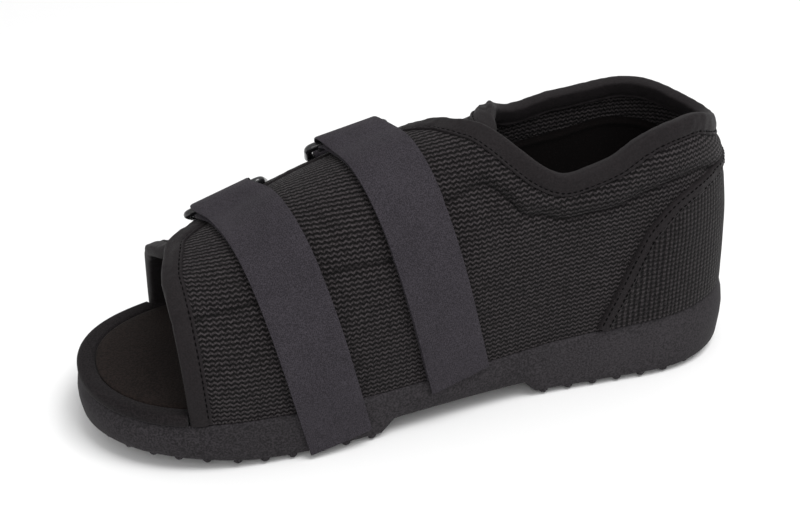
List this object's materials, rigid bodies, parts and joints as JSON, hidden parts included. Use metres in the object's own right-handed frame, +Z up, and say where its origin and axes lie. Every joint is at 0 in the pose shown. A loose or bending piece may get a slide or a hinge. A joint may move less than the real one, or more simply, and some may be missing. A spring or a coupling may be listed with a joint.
{
  "type": "post operative shoe",
  "caption": "Post-operative shoe for the left foot with a closed heel, an open toe, a thick cushioned sole, a padded mesh upper with overlapping flaps and wide straps through plastic loops.",
  "frame": {"origin": "on the ground under the heel seat, on the shoe's middle line, at the tip of a stud", "axes": "+X to the toe along the sole, +Y to the wearer's left, which is the outer side, +Z up"},
  "size_m": [0.301, 0.1101, 0.1272],
  "materials": {
    "outsole": "matte, finely grained",
    "footbed": "smooth microfibre",
    "insole": "brushed, matte",
    "upper": "knitted mesh",
    "tape": "fine twill tape",
    "counter": "coarse mesh",
    "strap": "brushed, fine grained",
    "ring": "glossy moulded plastic"
  },
  "bodies": {
    "root": {"outsole": "outsole", "footbed": "footbed", "insole": "insole", "upper": "upper", "toe_binding_outer": "tape", "collar_binding": "tape", "flap_binding": "tape", "toe_binding_inner": "tape", "heel_counter": "counter", "counter_tape": "tape", "strap_front": "strap", "strap_rear": "strap", "ring_front": "ring", "ring_rear": "ring", "ring_tab_front": "strap", "ring_tab_rear": "strap"}
  },
  "joints": []
}
